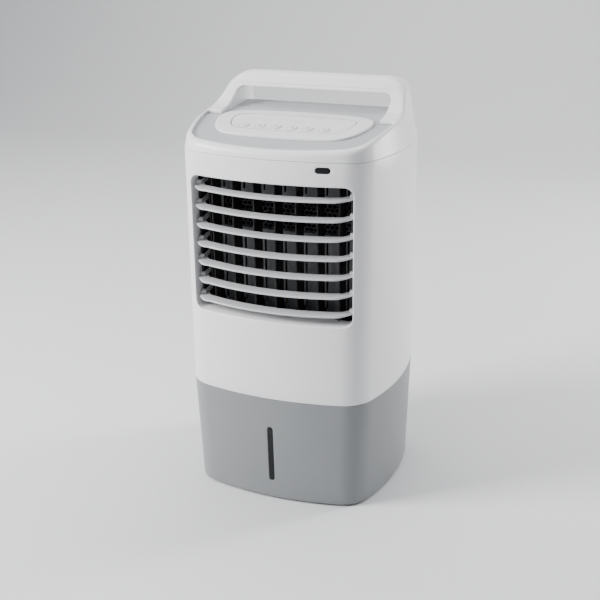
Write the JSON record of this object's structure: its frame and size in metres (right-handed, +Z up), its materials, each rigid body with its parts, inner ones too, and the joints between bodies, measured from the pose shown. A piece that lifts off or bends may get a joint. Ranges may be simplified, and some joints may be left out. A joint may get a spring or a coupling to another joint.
{
  "type": "evaporative cooler",
  "caption": "Portable evaporative cooler: upright plastic tower with tilting louvre blades, swinging vanes, top keys, carrying loop and a rear-drawn water tank.",
  "frame": {"origin": "on the floor, at the middle of the footprint, under the four feet", "axes": "+Z up, -Y out of the louvred front, +X to the right of someone facing the front"},
  "size_m": [0.301, 0.27, 0.584],
  "materials": {
    "white": "semi-gloss moulded plastic",
    "grey": "satin moulded plastic",
    "deck": "fine satin moulded plastic",
    "lens": "polished dark lens",
    "black": "satin moulded plastic",
    "dark": "satin moulded plastic",
    "metal": "plated steel",
    "rubber": "matt rubber",
    "pulp": "corrugated cellulose paper",
    "mesh": "woven nylon mesh",
    "clear": "translucent plastic",
    "board": "solder-masked board",
    "float": "moulded foam"
  },
  "bodies": {
    "cooler": {"base_shell": "grey", "level_window": "lens", "ir_window": "lens", "foot_1": "rubber", "foot_2": "rubber", "foot_3": "rubber", "foot_4": "rubber", "cord_inlet": "rubber", "riser_hose": "clear", "pad_tray": "black", "water_distributor": "black", "outlet_frame": "black", "scroll_housing": "black", "front_housing": "white", "rear_housing": "white", "top_cover": "white", "handle_grip": "white", "control_bezel": "white", "touch_panel": "white", "cooling_pad": "pulp", "deck_panel": "deck", "control_board": "board", "swing_motor": "metal", "blower_motor": "metal", "outlet_plate": "dark", "outlet_guard": "dark"},
    "tank": {"water_tank": "grey", "tank_cover": "clear", "water_pump": "black", "pump_hose": "clear"},
    "float": {"level_float": "float"},
    "grille": {"intake_grille": "white", "dust_filter": "mesh"},
    "blower": {"blower_wheel": "dark", "motor_shaft": "metal"},
    "louvre_1": {"louvre_blade_1": "white"},
    "louvre_2": {"louvre_blade_2": "white"},
    "louvre_3": {"louvre_blade_3": "white"},
    "louvre_4": {"louvre_blade_4": "white"},
    "louvre_5": {"louvre_blade_5": "white"},
    "louvre_6": {"louvre_blade_6": "white"},
    "louvre_7": {"louvre_blade_7": "white"},
    "louvre_bar": {"louvre_link": "black"},
    "vane_body_1": {"vane_1": "black"},
    "vane_body_2": {"vane_2": "black"},
    "vane_body_3": {"vane_3": "black"},
    "vane_body_4": {"vane_4": "black"},
    "vane_body_5": {"vane_5": "black"},
    "vane_body_6": {"vane_6": "black"},
    "vane_body_7": {"vane_7": "black"},
    "vane_bar": {"vane_link": "black"},
    "key_body_1": {"key_1": "white"},
    "key_body_2": {"key_2": "white"},
    "key_body_3": {"key_3": "white"},
    "key_body_4": {"key_4": "white"},
    "key_body_5": {"key_5": "white"},
    "key_body_6": {"key_6": "white"}
  },
  "joints": [
    {"name": "tank_slide", "type": "slide", "parent": "cooler", "child": "tank", "axis": [0, 1, 0], "range_m": [0, 0.22]},
    {"name": "float_rise", "type": "slide", "parent": "tank", "child": "float", "axis": [0, 0, 1], "range_m": [0, 0.09]},
    {"name": "grille_pull", "type": "slide", "parent": "cooler", "child": "grille", "axis": [0, 1, 0], "range_m": [0, 0.06]},
    {"name": "blower_spin", "type": "hinge", "parent": "cooler", "child": "blower", "pos_m": [0, 0.012, 0.383], "axis": [1, 0, 0], "continuous": true},
    {"name": "louvre_tilt_1", "type": "hinge", "parent": "cooler", "child": "louvre_1", "pos_m": [0, -0.102, 0.4522], "axis": [1, 0, 0], "range_deg": [-30, 14]},
    {"name": "louvre_tilt_2", "type": "hinge", "parent": "cooler", "child": "louvre_2", "pos_m": [0, -0.102, 0.42607], "axis": [1, 0, 0], "range_deg": [-30, 14]},
    {"name": "louvre_tilt_3", "type": "hinge", "parent": "cooler", "child": "louvre_3", "pos_m": [0, -0.102, 0.39994], "axis": [1, 0, 0], "range_deg": [-30, 14]},
    {"name": "louvre_tilt_4", "type": "hinge", "parent": "cooler", "child": "louvre_4", "pos_m": [0, -0.102, 0.37381], "axis": [1, 0, 0], "range_deg": [-30, 14]},
    {"name": "louvre_tilt_5", "type": "hinge", "parent": "cooler", "child": "louvre_5", "pos_m": [0, -0.102, 0.34768], "axis": [1, 0, 0], "range_deg": [-30, 14]},
    {"name": "louvre_tilt_6", "type": "hinge", "parent": "cooler", "child": "louvre_6", "pos_m": [0, -0.102, 0.32155], "axis": [1, 0, 0], "range_deg": [-30, 14]},
    {"name": "louvre_tilt_7", "type": "hinge", "parent": "cooler", "child": "louvre_7", "pos_m": [0, -0.102, 0.29542], "axis": [1, 0, 0], "range_deg": [-30, 14]},
    {"name": "louvre_bar_turn", "type": "hinge", "parent": "louvre_1", "child": "louvre_bar", "pos_m": [-0.1055, -0.0812, 0.45512], "axis": [1, 0, 0], "range_deg": [-14, 30]},
    {"name": "vane_swing_1", "type": "hinge", "parent": "cooler", "child": "vane_body_1", "pos_m": [-0.0915, -0.086, 0.372], "axis": [0, 0, 1], "range_deg": [-25, 25]},
    {"name": "vane_swing_2", "type": "hinge", "parent": "cooler", "child": "vane_body_2", "pos_m": [-0.061, -0.086, 0.372], "axis": [0, 0, 1], "range_deg": [-25, 25]},
    {"name": "vane_swing_3", "type": "hinge", "parent": "cooler", "child": "vane_body_3", "pos_m": [-0.0305, -0.086, 0.372], "axis": [0, 0, 1], "range_deg": [-25, 25]},
    {"name": "vane_swing_4", "type": "hinge", "parent": "cooler", "child": "vane_body_4", "pos_m": [0, -0.086, 0.372], "axis": [0, 0, 1], "range_deg": [-25, 25]},
    {"name": "vane_swing_5", "type": "hinge", "parent": "cooler", "child": "vane_body_5", "pos_m": [0.0305, -0.086, 0.372], "axis": [0, 0, 1], "range_deg": [-25, 25]},
    {"name": "vane_swing_6", "type": "hinge", "parent": "cooler", "child": "vane_body_6", "pos_m": [0.061, -0.086, 0.372], "axis": [0, 0, 1], "range_deg": [-25, 25]},
    {"name": "vane_swing_7", "type": "hinge", "parent": "cooler", "child": "vane_body_7", "pos_m": [0.0915, -0.086, 0.372], "axis": [0, 0, 1], "range_deg": [-25, 25]},
    {"name": "vane_bar_turn", "type": "hinge", "parent": "vane_body_4", "child": "vane_bar", "pos_m": [0, -0.074, 0.2715], "axis": [0, 0, 1], "range_deg": [-25, 25]},
    {"name": "key_press_1", "type": "slide", "parent": "cooler", "child": "key_body_1", "axis": [0, 0.2011, -0.9796], "range_m": [0, 0.0008], "stiffness_N_per_m": 500},
    {"name": "key_press_2", "type": "slide", "parent": "cooler", "child": "key_body_2", "axis": [0, 0.2011, -0.9796], "range_m": [0, 0.0008], "stiffness_N_per_m": 500},
    {"name": "key_press_3", "type": "slide", "parent": "cooler", "child": "key_body_3", "axis": [0, 0.2011, -0.9796], "range_m": [0, 0.0008], "stiffness_N_per_m": 500},
    {"name": "key_press_4", "type": "slide", "parent": "cooler", "child": "key_body_4", "axis": [0, 0.2011, -0.9796], "range_m": [0, 0.0008], "stiffness_N_per_m": 500},
    {"name": "key_press_5", "type": "slide", "parent": "cooler", "child": "key_body_5", "axis": [0, 0.2011, -0.9796], "range_m": [0, 0.0008], "stiffness_N_per_m": 500},
    {"name": "key_press_6", "type": "slide", "parent": "cooler", "child": "key_body_6", "axis": [0, 0.2011, -0.9796], "range_m": [0, 0.0008], "stiffness_N_per_m": 500}
  ],
  "couplings": [
    {"joint": "louvre_tilt_2", "follows": "louvre_tilt_1", "ratio": 1},
    {"joint": "louvre_tilt_3", "follows": "louvre_tilt_1", "ratio": 1},
    {"joint": "louvre_tilt_4", "follows": "louvre_tilt_1", "ratio": 1},
    {"joint": "louvre_tilt_5", "follows": "louvre_tilt_1", "ratio": 1},
    {"joint": "louvre_tilt_6", "follows": "louvre_tilt_1", "ratio": 1},
    {"joint": "louvre_tilt_7", "follows": "louvre_tilt_1", "ratio": 1},
    {"joint": "louvre_bar_turn", "follows": "louvre_tilt_1", "ratio": -1},
    {"joint": "vane_swing_1", "follows": "vane_swing_4", "ratio": 1},
    {"joint": "vane_swing_2", "follows": "vane_swing_4", "ratio": 1},
    {"joint": "vane_swing_3", "follows": "vane_swing_4", "ratio": 1},
    {"joint": "vane_swing_5", "follows": "vane_swing_4", "ratio": 1},
    {"joint": "vane_swing_6", "follows": "vane_swing_4", "ratio": 1},
    {"joint": "vane_swing_7", "follows": "vane_swing_4", "ratio": 1},
    {"joint": "vane_bar_turn", "follows": "vane_swing_4", "ratio": -1}
  ]
}
